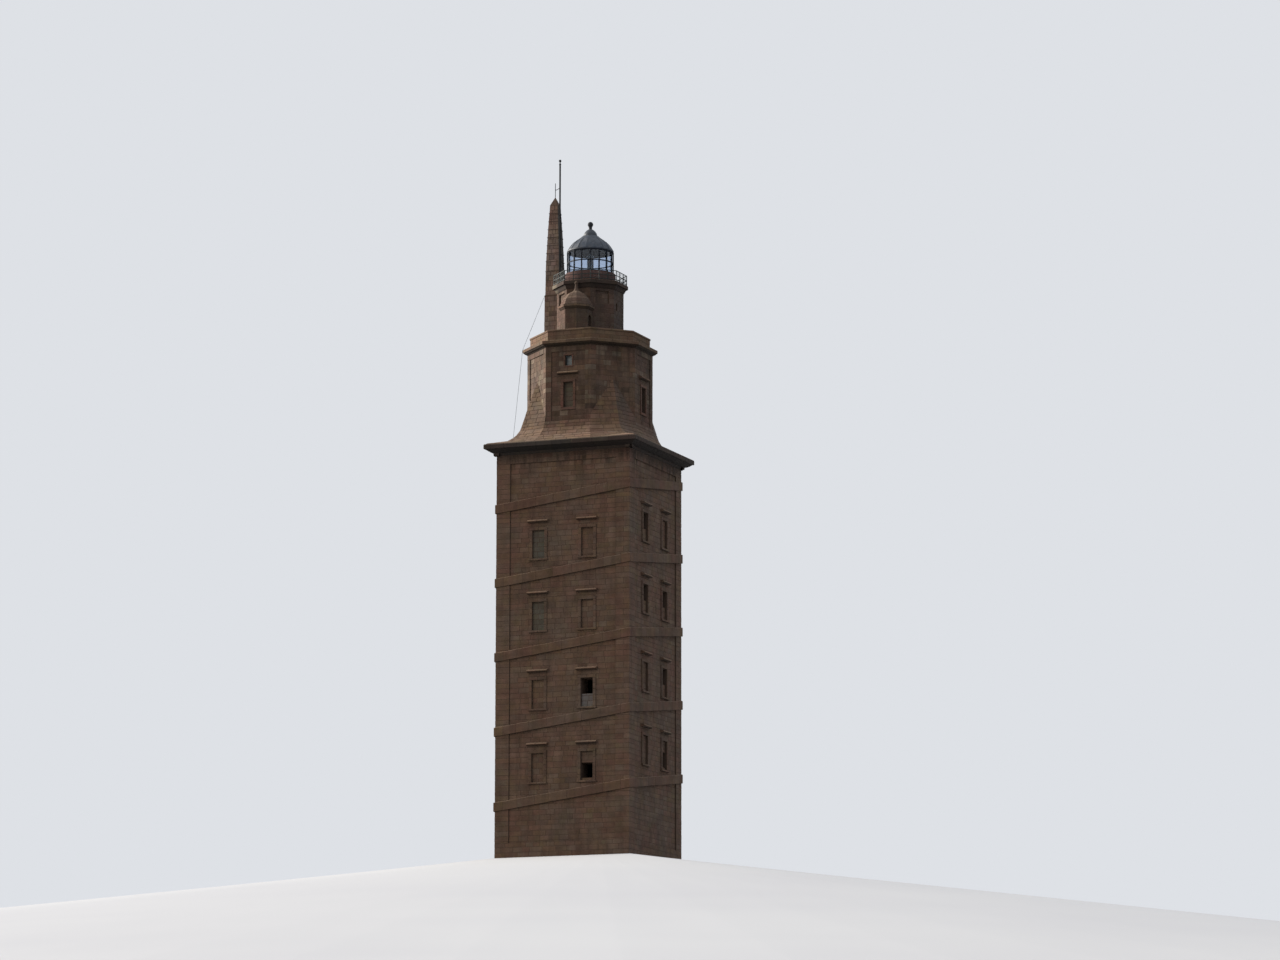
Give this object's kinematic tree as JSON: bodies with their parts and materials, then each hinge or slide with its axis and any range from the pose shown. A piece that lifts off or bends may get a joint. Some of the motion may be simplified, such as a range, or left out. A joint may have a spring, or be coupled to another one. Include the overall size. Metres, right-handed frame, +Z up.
{
  "type": "scale model of a lighthouse, 1:2",
  "caption": "Half-size model of a tall square stone lighthouse with a climbing stone band, an octagonal top with parapet, a drum with a stair turret, an obelisk and a glazed domed lantern.",
  "frame": {"origin": "centre of the base at ground level", "axes": "+Z up, -Y the front side, +X the right side"},
  "size_m": [6.7, 6.7, 29.595],
  "materials": {
    "shaft_stone": "weathered coursed granite",
    "band_stone": "weathered coursed granite",
    "pilaster_stone": "weathered coursed granite",
    "trim_stone": "weathered coursed granite",
    "floor_stone": "worn stone flags",
    "cornice_stone": "dark weathered granite",
    "octagon_stone": "weathered coursed granite",
    "skirt_stone": "weathered coursed granite",
    "parapet_stone": "weathered coursed granite",
    "drum_stone": "weathered coursed granite",
    "turret_stone": "weathered coursed granite",
    "turret_roof_stone": "weathered coursed granite",
    "lantern_wall_stone": "painted masonry, worn",
    "obelisk_stone": "weathered coursed granite",
    "door_wood": "dark oiled planks",
    "window_glass": "clear pane",
    "railing_metal": "weathered grey green paint",
    "lantern_metal": "dark blue grey paint",
    "lantern_glass": "clear pane",
    "dome_metal": "weathered grey green paint",
    "pedestal_metal": "dark paint",
    "optic_glass": "ribbed lens glass in a dark metal frame",
    "mast_metal": "dark paint"
  },
  "bodies": {
    "lighthouse": {"wall_front": "shaft_stone", "wall_right": "shaft_stone", "wall_back": "shaft_stone", "wall_left": "shaft_stone", "ramp_band_front": "band_stone", "ramp_band_right": "band_stone", "ramp_band_back": "band_stone", "ramp_band_left": "band_stone", "corner_pilasters": "pilaster_stone", "door_surround": "trim_stone", "entrance_door": "door_wood", "window_frames": "trim_stone", "window_hoods": "trim_stone", "ground_floor": "floor_stone", "upper_floors": "floor_stone", "square_cornice": "cornice_stone", "octagon_floor": "floor_stone", "octagon_main_walls": "octagon_stone", "octagon_corner_walls": "octagon_stone", "octagon_skirt_sides": "skirt_stone", "octagon_skirt_corners": "skirt_stone", "octagon_window_frames": "trim_stone", "octagon_hoods": "trim_stone", "octagon_window_panes": "window_glass", "octagon_cornice": "cornice_stone", "terrace_floor": "floor_stone", "parapet": "parapet_stone", "drum_walls": "drum_stone", "drum_window_infills": "drum_stone", "turret_walls": "turret_stone", "turret_moulding": "cornice_stone", "turret_roof": "turret_roof_stone", "gallery_slab": "cornice_stone", "gallery_railing": "railing_metal", "lantern_base": "lantern_wall_stone", "lantern_frame": "lantern_metal", "lantern_glass": "lantern_glass", "lantern_dome": "dome_metal", "dome_finial": "dome_metal", "optic_pedestal": "pedestal_metal", "obelisk": "obelisk_stone", "mast": "mast_metal", "conductor_wire": "mast_metal"},
    "optic": {"optic": "optic_glass"}
  },
  "joints": [
    {"name": "optic_spin", "type": "hinge", "parent": "lighthouse", "child": "optic", "pos_m": [0, 0, 24.708], "axis": [0, 0, 1], "continuous": true}
  ]
}
